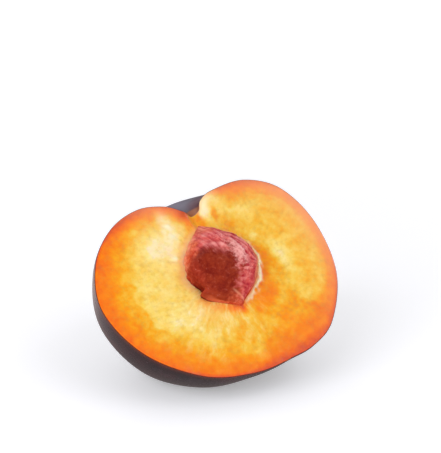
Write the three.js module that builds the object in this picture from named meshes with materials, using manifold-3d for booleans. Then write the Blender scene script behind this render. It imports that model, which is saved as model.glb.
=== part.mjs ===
// Half of a large dark dessert plum, cut along its suture from stem to blossom end, with the stone left in.
//
// The fruit has a frame of its own: x runs from the back of the fruit to its suture, y runs along the stem axis
// towards the stem, and z comes straight out of the cut face, so the skinned cheek lies at negative z.
// The finished half leans back on that cheek. Its origin is the centre of the small flat spot that it rests on,
// with +Z up and the cut face turned towards -Y. All lengths are millimetres, all angles degrees.
import * as THREE from "three";
import { mergeVertices } from "three/addons/utils/BufferGeometryUtils.js";
import Module from "manifold-3d";

// Meridians of the fruit, from the floor of the stem hollow to the blossom end, as
// [distance from the stem axis, height along it]. The first and third lie in the cut face, the second is square to it.
const SUTURE_MERIDIAN = [
  [0, 22.2], [2.2, 22.6], [4.4, 25], [9, 25.9], [18.4, 24.6], [26.2, 18],
  [29.1, 5.5], [26, -9.1], [16.8, -19.8], [8.2, -23], [0, -22.9],
];
const CHEEK_MERIDIAN = [
  [0, 22.2], [2.5, 23.6], [6.5, 28], [12.5, 31], [21, 29.5], [29, 22.5],
  [32.5, 8.5], [29.8, -7], [21.5, -16.2], [10.5, -20.7], [0, -22.9],
];
const BACK_MERIDIAN = [
  [0, 22.2], [1.7, 24], [5.6, 27.5], [12.6, 29.8], [21.5, 28.1], [29.9, 21.6],
  [34.9, 10.1], [31.6, -4.3], [21.6, -16.1], [10.4, -21.4], [0, -22.9],
];

// The shoulders between two meridians stand a little proud of an ellipse.
const SHOULDER_SWELL = 0.03;
// One low flank, between the cheek and the back, is fuller than the rest.
const FLANK = { swell: 0.09, azimuth: 130, spread: 32, along: 0.68, reach: 0.16 };
// The skin rolls in to the suture line, which the cut follows.
const SUTURE = { depth: 1, halfWidth: 9 };

// The stone: half length, half width and half thickness, how its two ends taper (0.5 is round, 1 is pointed),
// and how square its section is (2 is an ellipse, more has flatter broad faces).
const STONE = { halfLength: 12, halfWidth: 9.4, halfThickness: 6.8, stemTaper: 1.05, tipTaper: 1, squareness: 2.7 };
const STONE_CENTRE = [-1.8, 6.5, 0.6];
const STONE_TURN = -5;
// Its sharp keel runs down the suture side, between two furrows.
const KEEL = { height: 0.5, halfWidth: 9, furrowDepth: 0.35, furrowAt: 26, furrowHalfWidth: 10 };
const STONE_PITS = 0.22;
const STONE_GAP = 0.35;

// The strand that fed the fruit leaves a furrow from the stem hollow to the top of the stone.
const STRAND = { width: 3.2, length: 9, depth: 1.5, centre: [0.2, 20.2] };

// How the half lies: the way its cut face looks, the roll of its stem end, and the flat spot under it.
const FACE_ELEVATION = 42;
const FACE_TURN = 20;
const STEM_ROLL = 20;
const FRUIT_PLACE = [7.7, -4.6, 26.8];

// How finely the surfaces are divided.
const AZIMUTH_STEPS = 36;
const STEPS_PER_KNOT = 4;
const STONE_RINGS = 26;
const STONE_SIDES = 36;

const SKIN_COLOUR = 0x24141c;
const STONE_COLOUR = 0x8e2f22;

const wasm = await Module();
wasm.setup();

// A bell curve that is 1 at 0 and falls off over one width.
const bell = (distance, width) => Math.exp(-((distance / width) ** 2));

// A closed three.js geometry as a manifold-3d solid, and back.
function solidFrom(geometry) {
  const bare = geometry.clone();
  bare.deleteAttribute("normal");
  bare.deleteAttribute("uv");
  const merged = mergeVertices(bare, 1e-4);
  const vertProperties = new Float32Array(merged.attributes.position.array);
  const triVerts = new Uint32Array(merged.index.array);
  return new wasm.Manifold(new wasm.Mesh({ numProp: 3, vertProperties, triVerts }));
}

function geometryFrom(solid) {
  const { vertProperties, triVerts } = solid.getMesh();
  const geometry = new THREE.BufferGeometry();
  geometry.setAttribute("position", new THREE.BufferAttribute(vertProperties, 3));
  geometry.setIndex(new THREE.BufferAttribute(triVerts, 1));
  geometry.computeVertexNormals();
  return geometry;
}

// Points along one meridian. A mirrored neighbour past each end keeps the curve square to the stem axis there.
function meridianPoints(knots) {
  const first = knots[1];
  const last = knots[knots.length - 2];
  const run = [[-first[0], first[1]], ...knots, [-last[0], last[1]]];
  const curve = new THREE.SplineCurve(run.map(([r, h]) => new THREE.Vector2(r, h)));
  const steps = (knots.length - 1) * STEPS_PER_KNOT;
  const spans = run.length - 1;
  return Array.from({ length: steps + 1 }, (_, j) => curve.getPoint((1 + j / STEPS_PER_KNOT) / spans));
}

const meridians = {
  suture: meridianPoints(SUTURE_MERIDIAN),
  cheek: meridianPoints(CHEEK_MERIDIAN),
  back: meridianPoints(BACK_MERIDIAN),
};
const LAST = meridians.cheek.length - 1;

// A point of the skin. Azimuth runs from 0 at the suture through 90 on the cheek to 180 at the back of the fruit.
function skinPoint(azimuth, j) {
  const a = THREE.MathUtils.degToRad(azimuth);
  const side = azimuth < 90 ? meridians.suture[j] : meridians.back[j];
  const middle = meridians.cheek[j];
  const inPlane = Math.cos(a) ** 2;
  const height = THREE.MathUtils.lerp(middle.y, side.y, inPlane);
  const along = j / LAST;
  const swell =
    SHOULDER_SWELL * Math.sin(2 * a) ** 2 +
    FLANK.swell * Math.sin(a) * bell(azimuth - FLANK.azimuth, FLANK.spread) * bell(along - FLANK.along, FLANK.reach);
  const between = Math.sin(Math.PI * THREE.MathUtils.clamp((along - 0.1) / 0.8, 0, 1));
  const rolledIn = azimuth < 90 ? SUTURE.depth * (1 - bell(azimuth, SUTURE.halfWidth)) * inPlane * between : 0;
  const radius = THREE.MathUtils.lerp(middle.x, side.x, inPlane) * (1 + swell) + rolledIn;
  return new THREE.Vector3(radius * Math.cos(a), height, -radius * Math.sin(a));
}

// The skinned dome and the flat cut face as one closed surface.
function wholeHalf() {
  const positions = [];
  const put = (...points) => points.forEach((p) => positions.push(p.x, p.y, p.z));
  const azimuthOf = (i) => (180 * i) / AZIMUTH_STEPS;
  for (let i = 0; i < AZIMUTH_STEPS; i++) {
    for (let j = 0; j < LAST; j++) {
      const near = skinPoint(azimuthOf(i), j);
      const far = skinPoint(azimuthOf(i + 1), j);
      const nearNext = skinPoint(azimuthOf(i), j + 1);
      const farNext = skinPoint(azimuthOf(i + 1), j + 1);
      if (j > 0) put(near, nearNext, far);
      if (j < LAST - 1) put(nearNext, farNext, far);
    }
  }
  const rim = [];
  for (let j = 0; j <= LAST; j++) rim.push(skinPoint(0, j));
  for (let j = LAST - 1; j > 0; j--) rim.push(skinPoint(180, j));
  rim.reverse().forEach((p) => (p.z = 0));
  const outline = rim.map((p) => new THREE.Vector2(p.x, p.y));
  for (const [a, b, c] of THREE.ShapeUtils.triangulateShape(outline, [])) put(rim[a], rim[b], rim[c]);
  const geometry = new THREE.BufferGeometry();
  geometry.setAttribute("position", new THREE.Float32BufferAttribute(positions, 3));
  return geometry;
}

// Half width of the stone at a place along it, from -1 at the tip to 1 at the stem end, as a share of the widest.
function stoneTaper(place) {
  const shape = (s) => (1 - s) ** STONE.stemTaper * (1 + s) ** STONE.tipTaper;
  const widest = (STONE.tipTaper - STONE.stemTaper) / (STONE.tipTaper + STONE.stemTaper);
  return shape(place) / shape(widest);
}

// The stone round its own centre, with its surface set out evenly by `grow`.
function stoneGeometry(grow) {
  const squared = (share) => Math.sign(share) * Math.abs(share) ** (2 / STONE.squareness);
  const ring = (i) => {
    const place = -Math.cos((Math.PI * i) / STONE_RINGS);
    const taper = i === 0 || i === STONE_RINGS ? 0 : stoneTaper(place);
    return Array.from({ length: STONE_SIDES }, (_, k) => {
      const around = (360 * k) / STONE_SIDES;
      const a = THREE.MathUtils.degToRad(around);
      const fromKeel = around > 180 ? around - 360 : around;
      const keel = KEEL.height * bell(fromKeel, KEEL.halfWidth);
      const furrows = KEEL.furrowDepth * bell(Math.abs(fromKeel) - KEEL.furrowAt, KEEL.furrowHalfWidth);
      const pits = STONE_PITS * Math.sin(5 * a + 7 * place) * Math.sin(9 * place - 2 * a);
      const out = (grow + keel - furrows + pits) * Math.sqrt(taper);
      const x = (STONE.halfWidth * taper + out) * squared(Math.cos(a));
      const z = (STONE.halfThickness * taper + out) * squared(Math.sin(a));
      return new THREE.Vector3(x, (STONE.halfLength + grow) * place, z);
    });
  };
  const positions = [];
  const put = (...points) => points.forEach((p) => positions.push(p.x, p.y, p.z));
  for (let i = 0; i < STONE_RINGS; i++) {
    const low = ring(i);
    const high = ring(i + 1);
    for (let k = 0; k < STONE_SIDES; k++) {
      const next = (k + 1) % STONE_SIDES;
      if (i > 0) put(low[k], high[k], low[next]);
      if (i < STONE_RINGS - 1) put(low[next], high[k], high[next]);
    }
  }
  const geometry = new THREE.BufferGeometry();
  geometry.setAttribute("position", new THREE.Float32BufferAttribute(positions, 3));
  return geometry;
}

// The nested groups that lay the half down: turned to the side, leant back, and rolled about its cut face.
const plum = new THREE.Group();
plum.position.set(...FRUIT_PLACE);
plum.rotation.z = THREE.MathUtils.degToRad(FACE_TURN);
const leaning = new THREE.Group();
leaning.rotation.x = THREE.MathUtils.degToRad(90 - FACE_ELEVATION);
plum.add(leaning);
const rolled = new THREE.Group();
rolled.rotation.z = THREE.MathUtils.degToRad(STEM_ROLL);
leaning.add(rolled);
plum.updateMatrixWorld(true);

const stonePose = new THREE.Object3D();
stonePose.position.set(...STONE_CENTRE);
stonePose.rotation.z = THREE.MathUtils.degToRad(STONE_TURN);
stonePose.updateMatrix();

// What is taken out of the half: the hollow of the stone, the strand's furrow, and all below the surface it rests on.
function stoneHollow() {
  return solidFrom(stoneGeometry(STONE_GAP).applyMatrix4(stonePose.matrix));
}

function strandFurrow() {
  const bead = new THREE.SphereGeometry(1, 16, 10);
  bead.scale(STRAND.width / 2, STRAND.length / 2, STRAND.depth);
  bead.translate(...STRAND.centre, 0);
  return solidFrom(bead);
}

function ground() {
  const deep = 20;
  const wide = 120;
  const block = new THREE.BoxGeometry(wide, wide, deep);
  block.translate(0, 0, -deep / 2);
  return solidFrom(block.applyMatrix4(rolled.matrixWorld.clone().invert()));
}

const halfSolid = solidFrom(wholeHalf()).subtract(stoneHollow()).subtract(strandFurrow()).subtract(ground());

const half = new THREE.Mesh(
  geometryFrom(halfSolid),
  new THREE.MeshStandardMaterial({ color: SKIN_COLOUR, roughness: 0.25, metalness: 0 }),
);
half.name = "half_fruit";
rolled.add(half);

const stone = new THREE.Mesh(
  geometryFrom(solidFrom(stoneGeometry(0))),
  new THREE.MeshStandardMaterial({ color: STONE_COLOUR, roughness: 0.7, metalness: 0 }),
);
stone.name = "stone";
stone.position.copy(stonePose.position);
stone.rotation.copy(stonePose.rotation);
rolled.add(stone);

export default plum;
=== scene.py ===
# %% [markdown]
# # Half a ripe plum with its stone
#
# A large dark plum is cut along its suture from stem to blossom end, and one half keeps the stone. Three
# surfaces make the picture: a near-black waxy skin, wet yellow and orange flesh, and a rough red stone. The
# solids of the part come with it, so this lesson only builds the surfaces that are looked at.
# Everything is in metres and in the frame of the imported part.

import math
from bisect import bisect_right
from functools import partial

import bpy
from mathutils import Matrix, Vector, noise
from mathutils.kdtree import KDTree


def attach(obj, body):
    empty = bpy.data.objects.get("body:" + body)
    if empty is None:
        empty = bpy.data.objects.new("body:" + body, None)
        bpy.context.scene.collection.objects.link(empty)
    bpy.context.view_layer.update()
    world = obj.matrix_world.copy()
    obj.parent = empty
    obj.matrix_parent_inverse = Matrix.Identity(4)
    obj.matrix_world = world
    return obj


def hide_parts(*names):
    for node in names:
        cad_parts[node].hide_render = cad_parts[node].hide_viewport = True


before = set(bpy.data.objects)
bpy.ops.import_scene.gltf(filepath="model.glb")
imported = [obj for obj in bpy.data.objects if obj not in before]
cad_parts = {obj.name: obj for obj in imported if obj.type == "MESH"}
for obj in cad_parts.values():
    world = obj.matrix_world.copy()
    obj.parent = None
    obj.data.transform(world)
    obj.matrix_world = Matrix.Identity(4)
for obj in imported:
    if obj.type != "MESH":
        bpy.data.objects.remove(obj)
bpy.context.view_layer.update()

# vector noise starts from the clock unless it is given a seed
NOISE_SEED = 4
noise.seed_set(NOISE_SEED)
bpy.ops.object.select_all(action="DESELECT")

# %% [markdown]
# ## Small helpers
#
# Colours are written as the sRGB hex values a painter would pick, and one function makes them linear. One
# more adds a node, sets it and links it, so that a material reads as a short recipe: what goes into a node is
# named, or stands in the order of the sockets that it shows.

# %% Colours and nodes
MM = 0.001
SMOOTH = {"interpolation_type": "SMOOTHSTEP"}
COLOURS = {"data_type": "RGBA"}
SCALED_SUM = {"operation": "MULTIPLY_ADD"}


def hex_colour(text):
    """An sRGB hex colour as linear RGBA."""
    shares = [int(text[i : i + 2], 16) / 255 for i in (1, 3, 5)]
    return [s / 12.92 if s <= 0.04045 else ((s + 0.055) / 1.055) ** 2.4 for s in shares] + [1.0]


def add_node(tree, kind, inputs=(), **settings):
    """Adds a shader node. Among its inputs a text is a hex colour, and a node gives its first output."""
    node = tree.nodes.new("ShaderNode" + kind)
    for name, value in settings.items():
        setattr(node, name, value)
    shown = [socket for socket in node.inputs if socket.enabled]
    named = isinstance(inputs, dict)
    for key, value in inputs.items() if named else zip(shown, inputs):
        socket = node.inputs[key] if named else key
        if isinstance(value, str):
            value = hex_colour(value)
        if isinstance(value, bpy.types.Node):
            value = next(output for output in value.outputs if output.enabled)
        if isinstance(value, bpy.types.NodeSocket):
            tree.links.new(value, socket)
        else:
            socket.default_value = value
    return node


def empty_material(name):
    """A new material with an empty node tree."""
    made = bpy.data.materials.new(name)
    made.use_nodes = True
    made.node_tree.nodes.clear()
    return made


print("orange in linear light:", hex_colour("#FF9A28"))

# %% [markdown]
# ## The camera
#
# The half is seen from less than 30 cm away and 13 cm above the table, looking down 17 degrees. A long lens
# keeps the lobes from swelling towards the viewer. The picture is 441 by 453, so the sensor width names its
# longer, upright side.

# %% Camera
CAMERA_PLACE = (3.03 * MM, -287.61 * MM, 130.92 * MM)
CAMERA_PITCH = math.radians(-17.4)
LENS_MM = 94.17

bpy.ops.object.camera_add(location=CAMERA_PLACE, rotation=(math.radians(90) + CAMERA_PITCH, 0, 0))
camera = bpy.context.object
camera.name = "studio_camera"
camera.data.lens = LENS_MM
camera.data.sensor_width = 36
camera.data.clip_start = 0.01
bpy.context.scene.camera = camera
print("camera lens", LENS_MM, "mm")

# %% [markdown]
# ## Floor and light
#
# Fruit like this is shown on a white sweep in high key light. A pale surround lights every side softly, and a
# pale floor bounces light back under the dark skin. The floor is lit from below too. Its glow grows away from
# the fruit, which keeps it white far back and leaves a soft shadow. Gloss sees a painted reflection of the
# floor instead, dimmed near the fruit as a painted shade of the fruit, so the underside stays dark. Soft
# boxes then give form. The key hangs to the upper right, a little in front.
# A fill at the front left lights the cut face but doesn't show in gloss, and two cards behind only show in
# gloss: they leave the broad pale reflections of smooth waxy skin, and the surround is dimmer there. The
# plain Standard transform keeps the flesh as saturated as it is.

# %% Floor
# distances from the fruit where a glow starts and where it is full, and its strength at each
FLOOR_GLOW = (90 * MM, 600 * MM, 0.32, 0.7)
# the painted floor reflection that gloss sees, dimmed near the fruit as painted shade
FLOOR_REFLECTION_PAINTED_SHADE = (20 * MM, 90 * MM, 0.27, 1.05)

bpy.ops.mesh.primitive_plane_add(size=6, location=(0, 0, 0))
floor = bpy.context.object
floor.name = "pale_floor"
floor_finish = empty_material("back_lit_white_acrylic")
add = partial(add_node, floor_finish.node_tree)
from_fruit = add("VectorMath", (add("TexCoord").outputs["Object"],), operation="LENGTH")
acrylic = {
    "Base Color": "#F4F4F4",
    "Roughness": 0.6,
    "Specular IOR Level": 0.3,
    "Emission Color": "#FFFFFF",
    "Emission Strength": add("MapRange", (from_fruit, *FLOOR_GLOW), **SMOOTH),
}
sheet = add("BsdfPrincipled", acrylic)
# painted reflection of the floor, pinkish and dimmer near the fruit as a painted shade of the fruit
painted_reflection_shade = add("MapRange", (from_fruit, *FLOOR_REFLECTION_PAINTED_SHADE), **SMOOTH)
painted_floor_reflection = add("Emission", ("#FCE8E8", painted_reflection_shade))
ray = add("LightPath").outputs
add("OutputMaterial", (add("MixShader", (ray["Is Glossy Ray"], sheet, painted_floor_reflection)),))
floor.data.materials.append(floor_finish)
print("floor laid at z =", floor.location.z)

# %% Surround
scene = bpy.context.scene
scene.view_settings.view_transform = "Standard"
surround = bpy.data.worlds.new("pale_surround")
surround.use_nodes = True
surround.node_tree.nodes.clear()
add = partial(add_node, surround.node_tree)
ambient = add("Background", ("#FCFCFF", 0.5))
walls = add("Background", ("#F4F4FF", 0.23))
backdrop = add("Background", ("#FFFFFF", 1.0))
ray = add("LightPath").outputs
lit = add("MixShader", (ray["Is Glossy Ray"], ambient, walls))
add("OutputWorld", (add("MixShader", (ray["Is Camera Ray"], lit, backdrop)),))
scene.world = surround
print("surround strength", ambient.inputs["Strength"].default_value)

# %% Soft boxes
SOFT_BOXES = [
    # name, place, width, height, watts, lights, shows in gloss
    ("key_box", (0.50, -0.42, 0.62), 0.55, 0.55, 2.05, True, True),
    ("front_fill", (-0.40, -0.60, 0.46), 0.60, 0.50, 3.5, True, False),
    ("back_card", (-0.55, 0.55, 0.60), 0.60, 0.50, 8.0, False, True),
    ("side_card", (0.75, 0.45, 0.40), 0.40, 0.60, 7.0, False, True),
]
FRUIT_MIDDLE = Vector((0, 0, 25 * MM))
for name, place, width, height, watts, lights, shows in SOFT_BOXES:
    bpy.ops.object.light_add(type="AREA", location=place)
    box = bpy.context.object
    box.name = name
    box.data.shape = "RECTANGLE"
    box.data.size = width
    box.data.size_y = height
    box.data.energy = watts
    box.data.color = hex_colour("#F6F6FF")[:3]
    box.visible_diffuse = lights
    box.visible_glossy = shows
    box.rotation_euler = (FRUIT_MIDDLE - Vector(place)).to_track_quat("-Z", "Y").to_euler()
print(len(SOFT_BOXES), "soft boxes")

# %% [markdown]
# ## The fruit's own frame
#
# A fruit is easiest to describe on its stem axis. In its own frame, x runs from the back of the fruit to its
# suture, y runs along the axis towards the stem, and z comes straight out of the cut face. The half leans
# back on its cheek, so one matrix carries the finished meshes from that frame to where they lie. The values
# below are those of the solids, so the surfaces fit them.

# %% Values shared with the solids
SUTURE_MERIDIAN = [
    (0, 22.2), (2.2, 22.6), (4.4, 25), (9, 25.9), (18.4, 24.6), (26.2, 18),
    (29.1, 5.5), (26, -9.1), (16.8, -19.8), (8.2, -23), (0, -22.9),
]
CHEEK_MERIDIAN = [
    (0, 22.2), (2.5, 23.6), (6.5, 28), (12.5, 31), (21, 29.5), (29, 22.5),
    (32.5, 8.5), (29.8, -7), (21.5, -16.2), (10.5, -20.7), (0, -22.9),
]
BACK_MERIDIAN = [
    (0, 22.2), (1.7, 24), (5.6, 27.5), (12.6, 29.8), (21.5, 28.1), (29.9, 21.6),
    (34.9, 10.1), (31.6, -4.3), (21.6, -16.1), (10.4, -21.4), (0, -22.9),
]
SHOULDER_SWELL = 0.03
FLANK = {"swell": 0.09, "azimuth": 130, "spread": 32, "along": 0.68, "reach": 0.16}
SUTURE = {"depth": 1 * MM, "half_width": 9}
STONE_HALF = Vector((9.4, 12, 6.8)) * MM
STONE_TAPERS = (1.05, 1)
STONE_SQUARENESS = 2.7
STONE_CENTRE = Vector((-1.8, 6.5, 0.6)) * MM
STONE_TURN = math.radians(-5)
KEEL = {"height": 0.5 * MM, "half_width": 9}
KEEL_FURROWS = {"depth": 0.35 * MM, "at": 26, "half_width": 10}
STONE_PITS = 0.22 * MM
STONE_GAP = 0.35 * MM
STRAND = {"width": 3.2 * MM, "length": 9 * MM, "depth": 1.5 * MM, "centre": (0.2 * MM, 20.2 * MM)}
FACE_ELEVATION = math.radians(42)
FACE_TURN = math.radians(20)
STEM_ROLL = math.radians(20)
FRUIT_PLACE = Vector((7.7, -4.6, 26.8)) * MM

FRUIT_TO_PART = (
    Matrix.Translation(FRUIT_PLACE)
    @ Matrix.Rotation(FACE_TURN, 4, "Z")
    @ Matrix.Rotation(math.pi / 2 - FACE_ELEVATION, 4, "X")
    @ Matrix.Rotation(STEM_ROLL, 4, "Z")
)
PART_TO_FRUIT = FRUIT_TO_PART.inverted()
STONE_TO_FRUIT = Matrix.Translation(STONE_CENTRE) @ Matrix.Rotation(STONE_TURN, 4, "Z")
print("the cut face looks along", FRUIT_TO_PART.col[2].xyz)


# %% Small shapes of curves
def bell(distance, width):
    """1 at 0, falling off over one width."""
    return math.exp(-((distance / width) ** 2))


def facing(direction, towards, width):
    """1 where a direction in degrees points towards another, falling off over one width on either side."""
    return bell(math.remainder(direction - towards, 360), width)


def soft_step(low, high, value):
    """0 below low, 1 above high, and smooth between. It falls if low is above high."""
    t = min(1, max(0, (value - low) / (high - low)))
    return t * t * (3 - 2 * t)


def mix(a, b, share):
    """a at 0, b at 1."""
    return a + (b - a) * share


def lumps(place, size=1):
    """Smooth noise from -1 to 1 at a place, in lumps of one size."""
    return noise.noise(Vector(place) / size)


def along_table(table, value):
    """Reads a table of sorted places and values at any place."""
    k = min(len(table) - 2, max(0, bisect_right([row[0] for row in table], value) - 1))
    (low, first), (high, last) = table[k], table[k + 1]
    return mix(first, last, soft_step(low, high, value))


print("bell at one width:", round(bell(1, 1), 3))

# %% [markdown]
# ## The stone
#
# A plum stone is a flattened almond. One edge carries a sharp keel between two furrows, where the two halves
# of the shell meet, and the broad cheeks are pitted and netted. A UV sphere is the right start: its poles
# become the two tips and its circles run round the section. Each point is then moved to the stone's own
# formula, first the big form and then the relief. Sculpting by hand would give such a form too, but a formula
# can be repeated, and the hollow is made from it later.


# %% The stone as a ball on its long axis
def ball(name, sides, rings):
    """A ball of radius 1 with its poles on the y axis."""
    bpy.ops.mesh.primitive_uv_sphere_add(segments=sides, ring_count=rings, rotation=(-math.pi / 2, 0, 0))
    bpy.ops.object.transform_apply(location=False, rotation=True, scale=False)
    bpy.context.object.name = name
    return bpy.context.object


STONE_SIDES = 240
STONE_RINGS = 170
stone = ball("stone_pitted_shell", STONE_SIDES, STONE_RINGS)
print("stone starts with", len(stone.data.polygons), "faces")


# %% The big form of the stone
def stone_taper(place):
    """Share of the full width at a place along the stone, from -1 at the tip to 1 at the stem end."""
    stem, tip = STONE_TAPERS
    widest = (tip - stem) / (tip + stem)
    full = (1 - widest) ** stem * (1 + widest) ** tip
    return (1 - min(1, place)) ** stem * (1 + max(-1, place)) ** tip / full


def squared(share):
    """Bends a circle towards a square, so the broad cheeks are flatter."""
    return math.copysign(abs(share) ** (2 / STONE_SQUARENESS), share)


def stone_point(place, around, extra):
    """A point of the stone. around is in degrees, 0 on the keel and 90 in the middle of the front cheek."""
    a = math.radians(around)
    taper = stone_taper(place)
    keel = KEEL["height"] * bell(around, KEEL["half_width"])
    furrows = KEEL_FURROWS["depth"] * bell(abs(around) - KEEL_FURROWS["at"], KEEL_FURROWS["half_width"])
    pits = STONE_PITS * math.sin(5 * a + 7 * place) * math.sin(9 * place - 2 * a)
    out = (keel - furrows + pits + extra) * math.sqrt(taper)
    return Vector((
        (STONE_HALF.x * taper + out) * squared(math.cos(a)),
        STONE_HALF.y * place,
        (STONE_HALF.z * taper + out) * squared(math.sin(a)),
    ))


print("half a width of the stone:", round(stone_point(0, 0, 0).x / MM, 2), "mm at the keel")

# %% [markdown]
# ## The stone's relief
#
# A ridge parts the front cheek, and a pale highlight is painted along its crest. Left of it the shell is
# netted with pits, right of it and at the stem end the flesh has torn away in strands, and at the lower left
# a small ledge of shell has broken off. Places and heights are in millimetres here, with the stone's middle
# at
# 0, its stem end at y = 12 and its keel at x = 9.

# %% Where things lie on the stone
RIDGE_MM = [(-12, 0.4), (-8, 0.9), (-4, 3.4), (0, 3.9), (4, 2.8), (8, 1.0), (12, 0.2)]


def off_ridge(spot):
    """How far a place is to the keel side of the ridge on the front cheek."""
    return spot.x - along_table(RIDGE_MM, spot.y) + 0.7 * lumps(spot, 2.3) + 0.3 * lumps(spot, 0.8)


def turn_on_stone(spot):
    """Direction of a place from the stone's middle, in degrees: 0 on the keel and 90 at the stem end."""
    return math.degrees(math.atan2(spot.y, spot.x)) % 360


def strand_lines(spot):
    """0 to 1 across fine strands, which slant at the stem end, follow the ridge and lie level at the tip."""
    x, y, _ = spot
    at_stem, at_tip, at_keel = soft_step(1, 5, y), soft_step(-3, -6.5, y), soft_step(0, 3, x)
    a = mix(mix(0.9, mix(0.96, 0.7, at_keel), at_stem), 0.34, at_tip)
    b = mix(mix(0.42, mix(0.26, 0.7, at_keel), at_stem), 0.94, at_tip)
    across, along = a * x + b * y, b * x - a * y
    bend = 0.9 * lumps(spot, 2.2)
    broad = lumps((across / 0.7 + bend, along / 3.5, 7))
    fine = lumps((across / 0.26 + bend, along / 3, 3))
    return min(1, max(0, 0.5 + 0.7 * broad + 0.38 * fine + 0.5 * lumps(spot, 1.3)))


print("on the ridge:", round(off_ridge(Vector((3.9, 0, 6))), 2), "mm off")


# %% Heights over the big form, and shares for the finish
def stone_relief(spot):
    """Height over the big form: crest, pits, grain, strands, shreds and the torn and broken left side."""
    x, y, z = spot
    front = soft_step(-1, 3, z)
    off = off_ridge(spot)
    keel_side = soft_step(-0.4, 0.8, off) * front
    crest = 0.5 * bell(off, 1.5) * front
    nets, _ = noise.voronoi((spot + 0.5 * noise.noise_vector(spot / 1.1)) / 1.9)
    pits = -0.22 * soft_step(0.35, 0.0, nets[0]) * (0.5 + lumps(spot, 2.2)) * (1 - 0.7 * keel_side)
    grain = 0.26 * lumps(spot, 2.9) + 0.12 * noise.fractal(spot / 0.9, 0.8, 2.1, 4)
    strands = 0.17 * (strand_lines(spot) - 0.5) * max(keel_side, soft_step(2, 5, y))
    shreds = 0.3 * soft_step(3, 8, y) * lumps((x / 0.8, y / 3.5, z / 0.8))
    torn = 0.45 * soft_step(3.5, 1, z) * soft_step(-1, -4.5, x) * (bell(y - 6, 3.2) + lumps(spot, 1.2))
    turn = turn_on_stone(spot)
    ledge = 1.5 * soft_step(211, 214.5, turn) * soft_step(262, 216, turn)
    bites = 0.9 * bell(turn - 205, 7) + 1.2 * bell(turn - 281, 9)
    return crest + pits + grain + strands + shreds + torn + (ledge - bites) * bell(z - 0.3, 2.4)


def stone_shares(spot, lift):
    """How high, pink, stranded, warm, painted with a highlight, fringed with red flesh and pale with peeling
    shreds a place is.
    """
    x, y, z = spot
    front = soft_step(0, 2, z)
    off = off_ridge(spot)
    lines = strand_lines(spot)
    ragged = lumps(spot, 1.5)
    mottled = 1.2 * lumps(spot, 0.8)
    stem_from = mix(4.8, 1.8, soft_step(-4.5, 0.5, x)) - 1.6 * lumps(spot, 2.7)
    stem_end = soft_step(-2.4, 2.4, y - stem_from + 2 * (lines - 0.5) + mottled)
    keel_side = max(soft_step(-2.8, 1.0, off + lines - 0.5 + mottled), stem_end)
    beside_stem = soft_step(0.5, 4, y)
    # red flesh at the foot, painted lighter there against the shade of the corner between stone and flesh
    foot = soft_step(1.7, 0.5, z + 0.8 * ragged) * (1 - facing(turn_on_stone(spot), 206, 28.65))
    shoulder = soft_step(5.2, 3.0, z + 1.4 * ragged) * soft_step(-2, -5.5, x) * beside_stem
    tip_left = soft_step(-8, -10, y + 1.2 * ragged) * soft_step(1.5, -0.5, x)
    ends = 0.5 * max(soft_step(7.2, 10, y + 1.2 * ragged), tip_left)
    keel = 0.7 * soft_step(3.4, 1.4, z + ragged) * soft_step(5, 7.5, x)
    off_seam = x + 0.8 * y + 9.0
    seam = 0.35 * bell(off_seam, 0.55) * soft_step(-7.6, -9, y) * front
    seam_edge = 0.4 * bell(off_seam - 1.1, 0.3) * soft_step(-7.4, -8.6, y) * front
    flap = soft_step(3.4, 0.4, z + 1.8 * ragged) * soft_step(-2, -5, x) * beside_stem
    peel_left = 0.75 * flap * min(1, 0.35 + 0.8 * lines)
    peel_keel = 0.6 * keel * min(1, 0.3 + 0.8 * lines)
    peel_stem = 0.5 * lines * soft_step(8.5, 10.5, y + ragged)
    return {
        "lift": lift + 0.1 * soft_step(0, -5, y),
        "keel_side": keel_side if z > -3 else 0.5,
        "lines": lines + 0.08 * soft_step(1, 6, y) - 0.2 * soft_step(-3.5, -7, y),
        "left": soft_step(-6.2, -8.6, x + 1.2 * lumps(spot, 2.4)) * front,
        # painted highlight along the crest, broken up by the strands
        "painted_sheen": min(1, bell(off + 0.1, 2.1) * bell(y - 0.4, 4.8) * front * (0.55 + 0.6 * lines)),
        "fringe": min(1, max(foot, shoulder, ends, keel, seam)),
        "peel": max(peel_left, peel_keel, peel_stem, seam_edge),
    }


print("height on the crest:", round(stone_relief(Vector((3.9, 0, 6))), 2), "mm")


# %% Shape the stone and set it in the fruit
def keep_on_points(piece, name, values):
    """Keeps one value for each point with the mesh, where a finish can read it."""
    piece.data.attributes.new(name, "FLOAT", "POINT").data.foreach_set("value", values)


AT_A_POLE = 0.99999
stone_looks = []
for point in stone.data.vertices:
    place = min(1, max(-1, point.co.y))
    around = math.degrees(math.atan2(point.co.z, point.co.x)) if abs(place) < AT_A_POLE else 0.0
    spot = stone_point(place, around, 0) / MM
    lift = stone_relief(spot)
    point.co = stone_point(place, around, lift * MM)
    stone_looks.append(stone_shares(spot, lift))
for name in stone_looks[0]:
    keep_on_points(stone, name, [look[name] for look in stone_looks])
stone.data.transform(STONE_TO_FRUIT)
stone.data.update()
bpy.ops.object.shade_smooth()
print("stone box in millimetres:", stone.dimensions / MM)

# %% [markdown]
# ## The skinned dome
#
# Seen down its axis a plum is nearly round. Seen from the side it has a deep hollow at the stem, a blunt
# blossom end, and a suture where the skin rolls in. The dome is again a UV sphere with its poles on the stem
# axis. Half of it is deleted, and the rest is moved onto three meridians: on the suture side, in the middle
# of the cheek and at the back. Where the knife leaves the skin, the edge rounds over a little, most at the
# notch above the stone.


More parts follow.
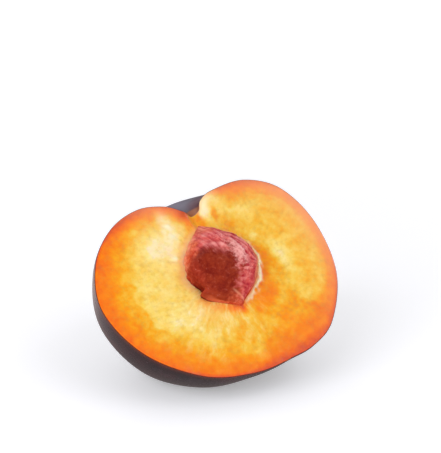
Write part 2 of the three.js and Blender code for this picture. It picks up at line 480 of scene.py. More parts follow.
# %% Meridians
def meridian_point(knots, along):
    """A point on the smooth curve through the knots, from 0 at the stem to 1 at the blossom end."""
    first, last = knots[1], knots[-2]
    run = [(-first[0], first[1]), *knots, (-last[0], last[1])]
    at = along * (len(knots) - 1)
    k = min(len(knots) - 2, int(at))
    t = at - k
    p0, p1, p2, p3 = (Vector(knot) for knot in run[k : k + 4])
    v0, v1 = (p2 - p0) / 2, (p3 - p1) / 2
    cubic, square = 2 * (p1 - p2) + v0 + v1, 3 * (p2 - p1) - 2 * v0 - v1
    return (cubic * t**3 + square * t**2 + v0 * t + p1) * MM


def skin_point(azimuth, along):
    """A point of the skin. azimuth is 0 at the suture, 90 on the cheek and 180 at the back."""
    a = math.radians(azimuth)
    side = meridian_point(SUTURE_MERIDIAN if azimuth < 90 else BACK_MERIDIAN, along)
    middle = meridian_point(CHEEK_MERIDIAN, along)
    in_plane = math.cos(a) ** 2
    flank = FLANK["swell"] * bell(azimuth - FLANK["azimuth"], FLANK["spread"])
    flank *= bell(along - FLANK["along"], FLANK["reach"]) * math.sin(a)
    swell = SHOULDER_SWELL * math.sin(2 * a) ** 2 + flank
    between = math.sin(math.pi * min(1, max(0, (along - 0.1) / 0.8)))
    radius = mix(middle.x, side.x, in_plane) * (1 + swell)
    if azimuth < 90:
        radius += SUTURE["depth"] * (1 - bell(azimuth, SUTURE["half_width"])) * in_plane * between
    return Vector((radius * math.cos(a), mix(middle.y, side.y, in_plane), -radius * math.sin(a)))


print("suture side is", round(skin_point(0, 0.6).x / MM, 1), "mm from the axis")

# %% How the rim of the cut rounds over
ROLL = {"width": 1.0 * MM, "depth": 0.22 * MM}
LIP = {"width": 2.6 * MM, "depth": 1.0 * MM, "place": (2.6 * MM, 23.6 * MM), "spread": 3.4 * MM}


def rounding(x, y, from_rim):
    """How far the face has dropped at a distance from the rim, most on the thick lip beside the notch."""
    off_lip = math.hypot(x - LIP["place"][0], y - LIP["place"][1])
    on_lip = bell(off_lip, LIP["spread"]) * soft_step(-0.5 * MM, 1 * MM, x)
    width = mix(ROLL["width"], LIP["width"], on_lip)
    depth = mix(ROLL["depth"], LIP["depth"], on_lip)
    near = 1 - min(1, from_rim / width)
    return depth * (1 - math.sqrt(1 - near * near))


def furrow(x, y):
    """Depth of the furrow that the strand leaves between the stem and the stone."""
    across = (x - STRAND["centre"][0]) / (STRAND["width"] / 2)
    ahead = (y - STRAND["centre"][1]) / (STRAND["length"] / 2)
    return STRAND["depth"] * soft_step(1.5, 0.1, math.hypot(across, ahead))


print("the furrow is", round(furrow(*STRAND["centre"]) / MM, 2), "mm deep")

# %% [markdown]
# ## A net that knows its place
#
# The cut face will be a net of rings and spokes round the stone. Each point of it remembers its share of the
# way from the hollow, 0, to the rim, 1, the direction of its spoke, where the spoke leaves the hollow and
# meets the rim, and how wide the cut edge of the skin is along it. New points get these values from the old
# ones as the mesh is extruded and cut.


# %% What the points remember
NET = ("share", "spoke", "near", "far", "edge")


def net_values(piece):
    """The remembered values by name. They are looked up again after each change of the mesh."""
    return {name: piece.data.attributes[name].data for name in NET}


def edit(piece, kind, wanted, operator, **settings):
    """Runs an operator on the points or edges of a piece that are wanted."""
    parts = {"VERT": piece.data.vertices, "EDGE": piece.data.edges}[kind]
    bpy.context.view_layer.objects.active = piece
    bpy.ops.object.mode_set(mode="EDIT")
    bpy.ops.mesh.select_mode(type=kind)
    bpy.ops.mesh.select_all(action="DESELECT")
    bpy.ops.object.mode_set(mode="OBJECT")
    for part in parts:
        part.select = wanted(part)
    bpy.ops.object.mode_set(mode="EDIT")
    bpy.ops.mesh.select_mode(type=kind)
    operator(**settings)
    bpy.ops.object.mode_set(mode="OBJECT")


print("each point remembers", ", ".join(NET))

# %% Half a ball with its poles at stem and blossom end
DOME_SIDES = 256
DOME_RINGS = 160
BALL_TOLERANCE = 1e-5
half = ball("half_fruit_skin_and_flesh", DOME_SIDES, DOME_RINGS)
edit(half, "VERT", lambda point: point.co.z > BALL_TOLERANCE, bpy.ops.mesh.delete, type="VERT")
for name in NET:
    half.data.attributes.new(name, "FLOAT", "POINT")
print("half a ball:", len(half.data.vertices), "points")

# %% Move it onto the meridians
ON_SKIN, ON_RIM, ON_HOLLOW, ON_BOTTOM = 2, 1, 0, -1
SAME_AZIMUTH, SAME_ALONG, SAME_SHARE = 1e-3, 1e-6, 1e-4
SKIN_THICKNESS = 0.16 * MM
DROP_REACH = 3 * MM
ALONG_STEP = 0.002
LEAST_SLANT = 0.25
net = net_values(half)
for index, point in enumerate(half.data.vertices):
    azimuth = math.degrees(math.atan2(max(0, -point.co.z), point.co.x))
    along = math.acos(min(1, max(-1, point.co.y))) / math.pi
    on_rim = min(azimuth, 180 - azimuth) < SAME_AZIMUTH or min(along, 1 - along) < SAME_ALONG
    edge_azimuth = 0 if azimuth < 90 else 180
    edge = skin_point(edge_azimuth, along)
    point.co = skin_point(azimuth, along)
    drop = rounding(edge.x, edge.y, 0) + furrow(edge.x, edge.y)
    point.co.z = 0 if on_rim else point.co.z - drop * math.exp(point.co.z / DROP_REACH)
    net["share"][index].value = ON_RIM if on_rim else ON_SKIN
    if on_rim:
        ahead = skin_point(edge_azimuth, min(1, along + ALONG_STEP))
        way = ahead - skin_point(edge_azimuth, max(0, along - ALONG_STEP))
        out = Vector((way.y, -way.x, 0)).normalized()
        reach = Vector((edge.x - STONE_CENTRE.x, edge.y - STONE_CENTRE.y, 0))
        net["far"][index].value = reach.length
        net["spoke"][index].value = math.atan2(reach.y, reach.x)
        net["edge"][index].value = SKIN_THICKNESS / max(LEAST_SLANT, abs(out.dot(reach.normalized())))
half.data.update()
print("rim:", sum(item.value == ON_RIM for item in net["share"]), "points")

# %% [markdown]
# ## The cut face
#
# A knife leaves a nearly flat face, with the flesh's strands fanning out from the stone. One flat polygon
# would leave nothing to shape, and a grid would run across the strands. So the open rim of the dome is
# extruded once, the new loop is drawn in towards the stone, and the band between is cut into rings. Every
# spoke of that net follows the way the strands grow.


# %% The stone's outline, felt from inside by rays
def spoke_way(spoke):
    """The direction of a spoke in the plane of the cut."""
    return Vector((math.cos(spoke), math.sin(spoke), 0))


def reach_of_stone(spoke, down):
    """How far the stone's surface is from its middle, along a spoke that is turned down by an angle."""
    heart = Vector((STONE_CENTRE.x, STONE_CENTRE.y, 0))
    way = spoke_way(spoke) * math.cos(down) - Vector((0, 0, math.sin(down)))
    hit, found, _, _ = stone.ray_cast(heart, way)
    return (found - heart).length if hit else STONE_HALF.z


def hollow_gap(spoke):
    """Width of the open joint between stone and flesh: a hair at the right, torn wider at the left."""
    torn = facing(math.degrees(spoke), 200, 24.06)
    rough = 0.5 + 0.5 * lumps(spoke_way(spoke) * 9)
    return (0.015 + 0.03 * rough + torn * (0.05 + 0.18 * rough)) * MM


print("stone reaches", round(reach_of_stone(0, 0) / MM, 2), "mm to the suture side")


# %% Extrude the rim and draw it in to the stone
def with_share(piece, share):
    """Indices of the points that have one share."""
    shares = net_values(piece)["share"]
    return {index for index, item in enumerate(shares) if abs(item.value - share) < SAME_SHARE}


def new_loop(piece, from_share, to_share):
    """Extrudes the loop that has one share, and returns the indices of the new loop, which gets the other."""
    loop = with_share(piece, from_share)
    edit(piece, "VERT", lambda point: point.index in loop, bpy.ops.mesh.extrude_edges_move)
    made = {point.index for point in piece.data.vertices if point.select}
    for index in made:
        piece.data.attributes["share"].data[index].value = to_share
    return made


def cut_into_rings(piece, loop, rings):
    """Cuts the band that ends at a loop into rings."""
    ring_cut = partial(bpy.ops.mesh.subdivide_edgering, number_cuts=rings - 1, interpolation="LINEAR")
    edit(piece, "EDGE", lambda edge: len(loop & set(edge.vertices)) == 1, ring_cut)


FACE_RINGS = 96
DRAWN_IN = 0.4
for index in with_share(half, ON_RIM):
    spoke = net["spoke"][index].value
    net["near"][index].value = reach_of_stone(spoke, 0) + hollow_gap(spoke)
inner = new_loop(half, ON_RIM, ON_HOLLOW)
for index in inner:
    half.data.vertices[index].co *= DRAWN_IN
cut_into_rings(half, inner, FACE_RINGS)
print("with its face:", len(half.data.polygons), "faces")

# %% [markdown]
# ## The hollow under the stone
#
# The stone grew inside the flesh, so the hollow is a cast of it. The inner loop is extruded once more and cut
# into rings. Each ring is let down until it lies a hair outside the stone, found by a ray from the stone's
# middle, and the last loop is merged into one point, which closes the mesh.

# %% Extrude the hollow and close it
HOLLOW_RINGS = 18
bottom = new_loop(half, ON_HOLLOW, ON_BOTTOM)
for index in bottom:
    half.data.vertices[index].co.z -= 5 * MM
cut_into_rings(half, bottom, HOLLOW_RINGS)
edit(half, "VERT", lambda point: point.index in bottom, bpy.ops.mesh.merge, type="CENTER")
print("closed half:", len(half.data.polygons), "faces")

# %% [markdown]
# ## The relief of the flesh
#
# The face is flat only at first sight. The strands stand out as low ribs that fade towards the skin, the
# cells make a soft unevenness, a torn lip rises on the suture side of the stone, a skirt of flesh climbs it
# elsewhere, and the edge sinks at the lower left, where the stone has pulled away. Heights are a few tenths
# of a millimetre, so they catch light without changing the form.


# %% Heights over the plane of the cut
def flesh_height(x, y, from_rim, from_hollow, spoke):
    """Height of the flesh, in metres."""
    place = Vector((x, y, 0))
    away = from_hollow / MM
    direction = math.degrees(spoke)
    fan = spoke_way(spoke)
    ribs = lumps(fan * 11 + Vector((0, 0, away / 9))) + 0.6 * lumps(fan * 23 + Vector((0, 0, away / 5)))
    ribs *= 0.22 * mix(0.25, 1, math.exp(-away / 7)) * soft_step(0, 1.2, away)
    uneven = 0.30 * lumps(place, 9 * MM) + 0.10 * lumps(place, 2.6 * MM)
    cells = 0.07 * noise.fractal(place / (1.1 * MM), 0.9, 2.0, 2)
    inside = soft_step(0, 2.5 * MM, from_rim)
    lip_side = facing(direction, -25, 54.43)
    ragged = 0.6 + 1.1 * lumps(fan * 13) + 0.25 * lumps(fan * 31)
    torn_lip = 0.9 * lip_side * ragged * bell(away - 0.6, 0.6)
    pulled = facing(direction, 212, 28.65)
    sunk = 0.3 * pulled * math.exp(-away / 0.7)
    low_skirt = (1 - pulled) * (1 - 0.7 * lip_side) * (1 - 0.85 * facing(direction, 150, 48.7))
    skirt = 0.95 * low_skirt * math.exp(-away / 0.9)
    height = ((ribs + uneven + cells) * inside + torn_lip - sunk + skirt) * MM
    return height - rounding(x, y, from_rim) - furrow(x, y)


print("at the rim:", round(flesh_height(0.02, 0, 0, 0.01, 0) / MM, 2), "mm")

# %% Where the rim is, for distances from it
RIM_STEPS = 2400
rim_places = [skin_point(side, step / RIM_STEPS).xy for side in (0, 180) for step in range(RIM_STEPS + 1)]
rim_tree = KDTree(len(rim_places))
for index, place in enumerate(rim_places):
    rim_tree.insert((place.x, place.y, 0), index)
rim_tree.balance()
print("rim has", len(rim_places), "places")


# %% Move every point of face and hollow to its place
def on_spoke(spoke, radius):
    """x and y on a spoke, at a distance from the stone's middle."""
    return STONE_CENTRE.x + radius * math.cos(spoke), STONE_CENTRE.y + radius * math.sin(spoke)


FACE_EASE = 0.3
LAST_RING = 1 - 1 / FACE_RINGS
IN_HOLLOW = 20.0
net = net_values(half)
measured = {}
for index, point in enumerate(half.data.vertices):
    share, spoke, near, far, edge = (net[name][index].value for name in NET)
    if share > ON_RIM:
        continue
    if share >= ON_HOLLOW:
        t = min(1, share / LAST_RING)
        radius = far if share > ON_RIM - SAME_SHARE else mix(near, far - edge, mix(t, t * t, FACE_EASE))
        x, y = on_spoke(spoke, radius)
        from_rim = rim_tree.find((x, y, 0))[2]
        point.co = (x, y, flesh_height(x, y, from_rim, radius - near, spoke))
        measured[index] = (from_rim / MM, (radius - near) / MM)
    else:
        measured[index] = (IN_HOLLOW, 0.0)
        down = -share * math.pi / 2
        gap = mix(near - reach_of_stone(spoke, 0), STONE_GAP, -share)
        reach = reach_of_stone(spoke, down) + gap
        start = flesh_height(*on_spoke(spoke, near), IN_HOLLOW * MM, 0, spoke)
        height = start * (1 + share) ** 2 - reach * math.sin(down)
        point.co = (*on_spoke(spoke, reach * math.cos(down)), height)
    if share <= ON_BOTTOM:
        point.co = (STONE_CENTRE.x, STONE_CENTRE.y, -reach_of_stone(0, math.pi / 2) - STONE_GAP)
half.data.update()
print(len(measured), "points measured")

# %% [markdown]
# ## Where the flesh is ripe, pale or stained
#
# Ripening starts under the skin, so a cut plum is orange along its rim and yellow inside, and red pigment
# leaks in from the skin and the stone. It could be painted by hand. Here each point of the face is given a
# few shares by its distance from rim and stone: how ripe, peach, creamy, stringy and stained it is. The
# finish turns them into colour and breaks their edges up. Behind the stone, where its shadow falls, the
# flesh is painted lighter as painted light, and the pale patches at the stone's upper left carry a painted
# highlight. Places are in millimetres in the fruit's own frame, and directions are in degrees from the
# stone's middle: 0 to the suture, 90 to the stem.

# %% How ripe the cut face is
RIPE_DEPTH_MM = [
    # direction from the stone, depth under the skin at which the deep orange has faded
    (-180, 6.8), (-160, 6), (-145, 7.4), (-130, 6.6), (-115, 6.8), (-100, 5.4), (-88, 9), (-78, 11.5),
    (-68, 13), (-55, 10.5), (-44, 5.8), (-32, 3.8), (-10, 3.2), (5, 3), (20, 4), (34, 5), (46, 4.2),
    (56, 2.2), (66, 0.5), (74, 0.3), (84, 2.2), (96, 3.6), (106, 3), (116, 3.4), (126, 5.2), (136, 6),
    (146, 7), (156, 8), (170, 7.8), (180, 6.8),
]
RED_DEPTH_MM = [
    # direction from the stone, depth at which the red under the skin has faded
    (-180, 0.4), (-150, 0.6), (-130, 1.5), (-112, 1.3), (-85, 3.6), (-68, 4.4), (-55, 2.2), (-40, 1.6),
    (-10, 1), (20, 1.2), (36, 2.4), (46, 3.2), (54, 1.9), (62, 0.4), (74, 0.1), (82, 0.8), (92, 3.2),
    (106, 1.6), (116, 2.8), (128, 3.2), (142, 1.4), (160, 0.6), (180, 0.4),
]
RIM_RIPENESS = [
    # share of the ripe depth, ripeness there
    (0, 0.88), (0.3, 0.80), (0.65, 0.69), (1, 0.52), (1.4, 0.32), (1.9, 0),
]
RIPENESS_DABS = [
    # x, y, half width, half height, turn in degrees, ripeness
    (19, 4, 10, 20, 0, 0.49), (-20, 6, 6, 11, 0, 0.24), (-13, 18.2, 7, 4.2, -12, 0.05),
    (-17, -3, 5.5, 4, -20, 0.09), (-5, -12, 8, 5, 0, 0.50), (-12, -6.5, 3.5, 3, 35, 0.36),
    (9, -13, 9, 6, -10, 0.62), (5, -6.5, 5.5, 2.2, 25, 0.76), (18, 3, 2.4, 4, 0, 0.40),
    (12, 3, 2.4, 5, 0, 0.57), (15.2, 2.6, 2, 5, 0, 0.10), (11, 19.6, 6, 3.4, -25, 0.26),
    (8.2, 15.2, 4.2, 2.8, -40, 0.56), (15, -9.5, 2.6, 3, 0, 0.36), (5.4, 19.4, 1.1, 2.6, -20, 0.66),
    (3.2, 22.6, 1.9, 3.2, -15, 0.02), (-1.6, 19, 3, 3, 0, 0.64), (10.6, 9.6, 1.2, 0.8, 0, 0.06),
]
INNER_RIPENESS = 0.28


def dab(x, y, cx, cy, wide, high, turn):
    """Weight of a soft oval dab at a place."""
    c, s = math.cos(math.radians(turn)), math.sin(math.radians(turn))
    u = ((x - cx) * c + (y - cy) * s) / wide
    v = (-(x - cx) * s + (y - cy) * c) / high
    return math.exp(-((u * u + v * v) ** 1.6))


def ripeness(x, y, from_rim, direction):
    """0 is creamy, 0.3 yellow, 0.45 to 0.6 golden, 0.74 orange, 0.88 deep orange and 1 red."""
    value = INNER_RIPENESS
    for cx, cy, wide, high, turn, wanted in RIPENESS_DABS:
        value = mix(value, wanted, dab(x, y, cx, cy, wide, high, turn))
    value = max(value, along_table(RIM_RIPENESS, from_rim / along_table(RIPE_DEPTH_MM, direction)))
    wave = 1.2 * soft_step(3, -2, y) - 0.8 * math.sin(y / 2.5)
    back_band = soft_step(-24.2, -25.8, x - wave) * soft_step(-10, -4, y) * soft_step(20, 14, y)
    value = max(value, 0.56 * back_band)
    red_depth = along_table(RED_DEPTH_MM, direction)
    return max(value, mix(min(1.05, 0.84 + 0.16 * red_depth), 0.74, from_rim / red_depth))


print("ripeness at the back rim:", round(ripeness(-33, 5, 0.5, -178), 2))


# %% Shares of a place on the face
def zone_shares(x, y, from_rim, away):
    """What the flesh is like at a place, with its distances from the rim and from the hollow."""
    direction = math.degrees(math.atan2(y - STONE_CENTRE.y / MM, x - STONE_CENTRE.x / MM))
    bend = 1.6 * noise.noise_vector(Vector((x, y, 3)) / 5) + 0.7 * noise.noise_vector(Vector((x, y, 9)) / 1.9)
    ragged = 1 + 0.8 * lumps((x, y, 5), 1.1)
    groove = min(1, furrow(x * MM, y * MM) / (0.5 * STRAND["depth"]))
    back, shoulder = facing(direction, 178, 40), facing(direction, 135, 48)
    tip, patch = facing(direction, -95, 21), facing(direction, -38, 44)
    lip_side = facing(direction, -38, 54) * soft_step(-92, -82, direction)
    off_stone = soft_step(0.8, 2, away) * ragged

    inside = soft_step(0, 4, from_rim)
    ripe = ripeness(x + bend.x * inside, y + bend.y * inside, from_rim, direction)
    near_stone = math.exp(-((away / mix(2.2, 4.6, patch)) ** 2.6)) * (1 - 0.5 * shoulder)
    # near the stone the flesh turns golden, orange in the wedge at the lower right; behind the stone it is
    # painted paler, as painted light against the stone's shadow
    ripe = mix(ripe, max(ripe, mix(mix(0.59, 0.46, back), 0.84, patch)), near_stone)
    ripe = mix(ripe, 0.95, bell(away, 1.8) * tip)
    peach = max(
        facing(direction, 8, 50) * min(1, 0.5 * bell(from_rim, 3) + 0.38 * bell(from_rim, 8)),
        0.6 * facing(direction, 108, 16) * math.exp(-from_rim / 5),
        0.4 * facing(direction, -138, 32) * bell(away, 5.5),
        min(1, 0.1 + 0.9 * shoulder) * bell(away, 1.4),
        # painted light: lighter peach behind the stone, where the stone's shadow falls
        0.8 * back * bell(away, 2.0),
        0.6 * lip_side * bell(away, 0.5),
        0.2 * shoulder * math.exp(-away / 4),
    )
    cream = max(
        lip_side * bell(away - 0.75 * ragged, 0.45 * ragged),
        # pale cream at the stone's upper left, partly a painted highlight
        0.7 * bell(math.hypot(x + 10.8, y - 13.6), 1.6) * off_stone,
        0.7 * dab(x, y, -8.6, 20.6, 1.9, 5.0, -8) * off_stone,
        0.25 * bell(math.hypot(x + 13, y - 18), 5.5) * ragged,
        0.85 * bell(from_rim - 1.1, 1.3) * facing(direction, 72, 9) * (1 - groove),
    )
    return {
        "ripe": mix(ripe, 0.63, groove),
        "peach": peach,
        "cream": cream,
        "strings": facing(direction, -122, 44) * bell(away, 13),
        "stain": 1.0 if from_rim == IN_HOLLOW else 0.8 * bell(math.hypot(x + 2.0, y - 23.2), 1.3),
    }


ZONES = tuple(zone_shares(0, 0, 10, 1))
print("flesh shares:", ", ".join(ZONES))

# %% Give every point of face and hollow its shares
zones = {name: [0.0] * len(half.data.vertices) for name in ZONES}
for index, (from_rim, away) in measured.items():
    place = half.data.vertices[index].co
    for name, share in zone_shares(place.x / MM, place.y / MM, from_rim, away).items():
        zones[name][index] = share
for name, values in zones.items():
    keep_on_points(half, name, values)
print("the ripest point has", round(max(zones["ripe"]), 2))

# %% [markdown]
# ## Laying the half down
#
# Both meshes are carried to where they lie by the one matrix, and the weight of the fruit presses a small
# flat spot on its cheek, so the points that would be under the table are put on it.

# %% Place the meshes
stone.data.transform(FRUIT_TO_PART)
half.data.transform(FRUIT_TO_PART)
pressed = [point for point in half.data.vertices if point.co.z < 0]
for point in pressed:
    point.co.z = 0
for piece in (half, stone):
    piece.data.update()
print(len(pressed), "points on the table")

# %% [markdown]
# ## Skin or flesh
#
# The half is one closed mesh, because skin and flesh grew as one. Its faces carry two finishes. The last
# ring of the cut face is the cut edge of the skin, about a sixth of a millimetre thick, which draws the fine
# dark line round the flesh. Near the cut the skin looks browner, so each of its points also remembers how
# near it is.

# %% Two finishes on one mesh
THIN_EDGE = {"share": 0.85, "reach_mm": 0.7}
skin_finish = empty_material("waxy_dark_plum_skin")
flesh_finish = empty_material("wet_cut_plum_flesh")
half.data.materials.append(skin_finish)
half.data.materials.append(flesh_finish)
shares = [item.value for item in net_values(half)["share"]]
for face in half.data.polygons:
    outermost = max(shares[index] for index in face.vertices)
    face.material_index = 0 if outermost > LAST_RING + SAME_SHARE else 1
bpy.ops.object.select_all(action="DESELECT")
half.select_set(True)
bpy.context.view_layer.objects.active = half
bpy.ops.object.shade_smooth_by_angle(angle=math.radians(50))
thin = [0.0] * len(shares)
for index, point in enumerate(half.data.vertices):
    if shares[index] >= ON_RIM:
        depth = max(0.0, -(PART_TO_FRUIT @ point.co).z / MM)
        thin[index] = THIN_EDGE["share"] * math.exp(-depth / THIN_EDGE["reach_mm"])
keep_on_points(half, "thin", thin)
for name in NET:
    half.data.attributes.remove(half.data.attributes[name])
print("flesh faces:", sum(face.material_index for face in half.data.polygons))

# %% [markdown]
# ## Finish: waxy dark plum skin
#
# Ripe plum skin is a thin smooth cuticle over cells full of dark blue-red pigment, with a grey bloom of wax.
# Handling has worn the bloom to faint smears, with more left on the shoulders and most in the hollow of the
# stem. To the eye the skin is nearly black, wine red where the pigment thins, as by the notch, with broad
# soft reflections. Wax has an IOR of about 1.45. Pale breathing pores sit about two millimetres apart. A
# corky scar marks the stem end, and a tiny one the blossom end. Cork and bloom are duller than bare skin.


# %% How every finish starts
def begin_finish(material, shares, patterns):
    """Gives what adds nodes, the place in the fruit's frame in millimetres, and shares and patterns by name.

    The shares are those kept on the points. A pattern has a size in millimetres, a detail and a roughness.
    """
    add = partial(add_node, material.node_tree)
    mapped = (add("TexCoord").outputs["Object"], FRUIT_PLACE, FRUIT_TO_PART.to_euler(), (MM, MM, MM))
    place = add("Mapping", mapped, vector_type="TEXTURE")
    parts = {name: add("Attribute", attribute_name=name).outputs["Fac"] for name in shares}
    for name, (size, detail, roughness) in patterns.items():
        parts[name] = add("TexNoise", (place, 1 / size, detail, roughness))
    return add, place, parts


print("the fruit's frame starts at", FRUIT_PLACE)

# %% Skin patterns and spots
SKIN_PATTERNS = {"tint": (12, 3, 0.55), "wax": (5, 5, 0.62), "dimples": (1.6, 3, 0.6)}
SKIN_SPOTS = {
    # middle in millimetres, radius where the spot begins, radius where it is full, strength
    "hollow": ((-1, 28, -9), 8.5, 2.5, 0.7),
    "wine": ((4.5, 25, -3), 4.5, 1.5, 0.8),
    "stem_scar": ((1.0, 22.6, -1.6), 3.0, 2.0, 1.0),
    "tip_scar": ((0, -22.9, 0), 1.08, 0.72, 1.0),
}
PORE_SPACING_MM = 2.1
add, place, skin = begin_finish(skin_finish, ["thin"], SKIN_PATTERNS)
for name, (middle, outer, inner, strength) in SKIN_SPOTS.items():
    off = add("VectorMath", (place, middle), operation="DISTANCE")
    skin[name] = add("MapRange", (off, outer, inner, 0, strength), **SMOOTH)
pores = add("TexVoronoi", (place, 1 / PORE_SPACING_MM))
skin["pores"] = add("MapRange", (pores, 0.10, 0.05, 0, 0.45))
print("skin has", ", ".join(skin))

# %% Where bloom is left, and the skin's colours
height = add("SeparateXYZ", (place,)).outputs["Y"]
raised = add("Math", (skin["wax"], 16.0, height), **SCALED_SUM)
shoulder = add("MapRange", (raised, 24.0, 44.0, 0, 0.4), **SMOOTH)
smears = add("MapRange", (skin["wax"], 0.48, 0.8, 0, 0.13), **SMOOTH)
skin["bloom"] = add("Math", (shoulder, smears), operation="ADD")
tint = add("MapRange", (skin["tint"], 0.42, 0.72), **SMOOTH)
skin_colour = add("Mix", (tint, "#1C0E16", "#3A1018"), **COLOURS)
SKIN_LAYERS = {
    "wine": "#5A2226", "bloom": "#7A6A78", "hollow": "#8C8692", "pores": "#6B4A52",
    "stem_scar": "#9A5A34", "tip_scar": "#9A5A34", "thin": "#7C3418",
}
for name, colour in SKIN_LAYERS.items():
    skin_colour = add("Mix", (skin[name], skin_colour, colour), **COLOURS)
print(len(SKIN_LAYERS), "layers over the pigment")

# %% Skin gloss and fine unevenness
dull = skin["bloom"]
for name in SKIN_SPOTS:
    dull = add("Math", (dull, skin[name]), operation="ADD")
dimples = {"Height": skin["dimples"], "Strength": 0.35, "Distance": 0.1 * MM}
waxy = {
    "Base Color": skin_colour,
    "Roughness": add("MapRange", (dull, 0.0, 0.6, 0.26, 0.6)),
    "IOR": 1.45,
    "Specular IOR Level": add("MapRange", (dull, 0.3, 0.9, 0.5, 0.15)),
    "Normal": add("Bump", dimples),
}
add("OutputMaterial", (add("BsdfPrincipled", waxy),))
print("skin finish has", len(skin_finish.node_tree.nodes), "nodes")

# %% [markdown]
# ## Finish: wet cut flesh
#
# Cut flesh is a mass of juicy cells. Light enters it, spreads a few millimetres and comes back yellow or
# orange, which softens every shadow, and a film of juice gives small dull highlights. Its IOR is near that of
# water, 1.36. Single cells are too fine to show, so a coarser mottle of two millimetres and green-yellow
# flecks of one stand for them, both calmer in ripe and stringy flesh. Strands fan out from the stone: they
# read a direction from its middle, so they spread like spokes at any distance. Peach veils lie round the
# stone and under the skin, and cream on torn places. Behind the stone the peach is painted light against
# the stone's shadow, and the cream at its upper left holds a painted highlight.

# %% Flesh patterns
FLESH_PATTERNS = {
    "mottle": (2.0, 4, 0.55), "blotch": (4.5, 3, 0.55), "flecks": (1.1, 3, 0.55),
    "grain": (0.8, 2, 0.6), "bends": (6, 2, 0.5),
}
BEND_MM = 3.0
STRANDS_ROUND = 8.0
STRAND_LENGTH_MM = 4.0
add, place, flesh = begin_finish(flesh_finish, ZONES, FLESH_PATTERNS)
outward = add("VectorMath", (place, STONE_CENTRE / MM), operation="SUBTRACT")
bends = (flesh["bends"].outputs["Color"], (BEND_MM, BEND_MM, 0), outward)
bent = add("VectorMath", bends, **SCALED_SUM)
in_face = add("VectorMath", (bent, (1, 1, 0)), operation="MULTIPLY")
distance = add("VectorMath", (in_face,), operation="LENGTH")
direction = add("VectorMath", (in_face,), operation="NORMALIZE")
fan = add("VectorMath", (direction, STRANDS_ROUND), operation="SCALE")
deep = add("Math", (distance, 1 / STRAND_LENGTH_MM), operation="MULTIPLY")
spokes = add("VectorMath", (fan, add("CombineXYZ", {"Z": deep})), operation="ADD")
flesh["strands"] = add("TexNoise", (spokes, 1.0, 4, 0.62))
print("flesh has", ", ".join(flesh))

# %% Ripeness as colour
RIPENING = [
    # ripeness, colour
    (0.0, "#F5E2AE"), (0.14, "#F5DC80"), (0.3, "#F3CF5E"), (0.45, "#F1BE3C"),
    (0.6, "#F2A510"), (0.74, "#F38B06"), (0.88, "#EE6E10"), (1.0, "#D4502C"),
]
SWINGS = {"mottle": 0.5, "blotch": 0.46, "strands": 0.12}
COMBING = 1.2
still = add("Math", (flesh["strings"], 0.6, flesh["ripe"]), **SCALED_SUM)
calm = add("MapRange", (still, 0.6, 0.95, 1.0, 0.45), **SMOOTH)
ripe = flesh["ripe"]
for name, strength in SWINGS.items():
    swing = add("Math", (flesh[name], strength, -0.5 * strength), **SCALED_SUM)
    ripe = add("Math", (swing, calm, ripe), **SCALED_SUM)
combed = add("Math", (flesh["strands"], -COMBING, 0.5 * COMBING), **SCALED_SUM)
ripe = add("Math", (combed, flesh["strings"], ripe), **SCALED_SUM)
flesh_colour = add("ValToRGB", (ripe,))
stops = flesh_colour.color_ramp.elements
for ripeness_there, colour in RIPENING[1:-1]:
    stops.new(ripeness_there)
for stop, (ripeness_there, colour) in zip(stops, RIPENING):
    stop.color = hex_colour(colour)
print("ripening has", len(stops), "colours")

# %% Flecks, peach, strings, cream and stain
speckled = add("Math", (flesh["blotch"], 0.7, flesh["flecks"]), **SCALED_SUM)
fleck_share = add("MapRange", (speckled, 0.86, 1.12, 0, 0.33))
string_lines = add("MapRange", (flesh["strands"], 0.46, 0.74, 0, 0.45), **SMOOTH)
peach = add("Mix", (flesh["ripe"], "#FFCC90", "#F09868"), **COLOURS)
FLESH_LAYERS = [
    (add("Math", (fleck_share, calm), operation="MULTIPLY"), "#CC9F40"),
    (flesh["peach"], peach),
    (add("Math", (string_lines, flesh["strings"]), operation="MULTIPLY"), "#F6E4B0"),
    (flesh["cream"], "#F8EABE"),
    (flesh["stain"], "#C04A24"),
]
for share, colour in FLESH_LAYERS:
    flesh_colour = add("Mix", (share, flesh_colour, colour), **COLOURS)
print(len(FLESH_LAYERS), "layers over the ripening")

# %% Flesh gloss and depth
grain = {"Height": flesh["grain"], "Strength": 0.6, "Distance": 0.16 * MM}
strand_depth = add("MapRange", (flesh["strings"], 0, 1, 0.05, 0.8))
strands = {
    "Height": flesh["strands"],
    "Strength": strand_depth,
    "Distance": 0.3 * MM,
    "Normal": add("Bump", grain),
}
juicy = {
    "Base Color": flesh_colour,
    "Roughness": add("MapRange", (flesh["mottle"], 0.3, 0.7, 0.34, 0.52)),
    "IOR": 1.36,
    "Specular IOR Level": 0.24,
    "Subsurface Weight": 0.4,
    "Subsurface Radius": (1.0, 0.4, 0.1),
    "Subsurface Scale": 2.2 * MM,
    "Normal": add("Bump", strands),
}
add("OutputMaterial", (add("BsdfPrincipled", juicy),))
print("flesh finish has", len(flesh_finish.node_tree.nodes), "nodes")

# %% [markdown]
# ## Finish: pitted stone
#
# The shell of the stone is wood, hard and rough, and here it is stained by the juice and still hung with
# shreds of red flesh. The broad cheek is dark red-brown and a pale highlight is painted along its crest,
# while the keel side, where the flesh tore away, is pinker and stranded. Red flesh fringes the foot, painted
# lighter there against the shade of the corner, and pale shreds peel off at the left and the keel. Shares
# kept with the mesh tell where each of these is.

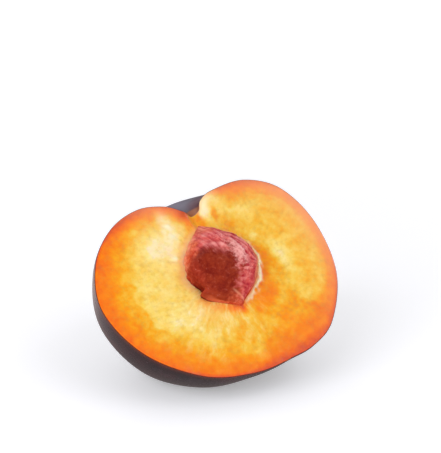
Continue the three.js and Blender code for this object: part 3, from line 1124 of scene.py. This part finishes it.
# %% Stone patterns
STONE_PATTERNS = {"speckle": (0.9, 5, 0.7), "clouds": (3.0, 3, 0.6), "rough": (0.45, 3, 0.6)}
stone_finish = empty_material("juice_stained_plum_stone")
stone.data.materials.append(stone_finish)
add, place, shell = begin_finish(stone_finish, stone_looks[0], STONE_PATTERNS)
ridge_sum = add("Math", (shell["lift"], 0.5, shell["speckle"]), **SCALED_SUM)
ridges = add("MapRange", (ridge_sum, 0.3, 0.8), **SMOOTH)
line_sum = add("Math", (shell["speckle"], 0.8, shell["lines"]), **SCALED_SUM)
lines = add("MapRange", (line_sum, 0.45, 1.35))
clouded = add("MapRange", (shell["clouds"], 0.38, 0.62), **SMOOTH)
# the crest's painted highlight, broken up by speckle; the same share makes the crest glossier
speckled_highlight = add("Math", (shell["speckle"], 1.7, shell["painted_sheen"]), **SCALED_SUM)
highlight_and_gloss = add("MapRange", (speckled_highlight, 0.95, 1.8, 0, 0.85), **SMOOTH)
print("stone has", ", ".join(shell))

# %% Stone colours
STONE_COLOURS = {
    # what tells low from high, the low colour, the high colour
    "cheek": (ridges, "#731910", "#8F2C18"),
    "cheek_cloud": (ridges, "#80200F", "#9C381E"),
    "keel": (lines, "#AC2230", "#E4645A"),
    "keel_cloud": (lines, "#BC323E", "#F0948A"),
    "warm": (ridges, "#8C2616", "#B2412A"),
    "fringe": (ridges, "#BC381C", "#E8744C"),
}
tones = {}
for name, (height, low, high) in STONE_COLOURS.items():
    tones[name] = add("Mix", (height, low, high), **COLOURS)
keel_colour = add("Mix", (clouded, tones["keel"], tones["keel_cloud"]), **COLOURS)
STONE_LAYERS = [
    (clouded, tones["cheek_cloud"]),
    (shell["left"], tones["warm"]),
    (shell["keel_side"], keel_colour),
    (shell["fringe"], tones["fringe"]),
    (shell["peel"], "#F6A882"),
    # painted highlight on the crest
    (highlight_and_gloss, "#F0AAA0"),
]
stone_colour = tones["cheek"]
for share, colour in STONE_LAYERS:
    stone_colour = add("Mix", (share, stone_colour, colour), **COLOURS)
print(len(STONE_LAYERS), "layers over the cheek")

# %% Stone gloss and roughness
roughening = {"Height": shell["rough"], "Strength": 0.5, "Distance": 0.12 * MM}
woody = {
    "Base Color": stone_colour,
    "Roughness": add("MapRange", (highlight_and_gloss, 0, 1, 0.62, 0.46)),
    "IOR": 1.45,
    "Specular IOR Level": add("MapRange", (highlight_and_gloss, 0, 1, 0.07, 0.3)),
    "Normal": add("Bump", roughening),
}
add("OutputMaterial", (add("BsdfPrincipled", woody),))
print("stone finish has", len(stone_finish.node_tree.nodes), "nodes")

# %% [markdown]
# ## Joining the frame
#
# Each finished surface stands for the solid it was shaped after, and rides on the one body of the part.

# %% Ride and replace
for piece, node, slot in ((half, "half_fruit", "fruit"), (stone, "stone", "stone")):
    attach(piece, "root")
    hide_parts(node)
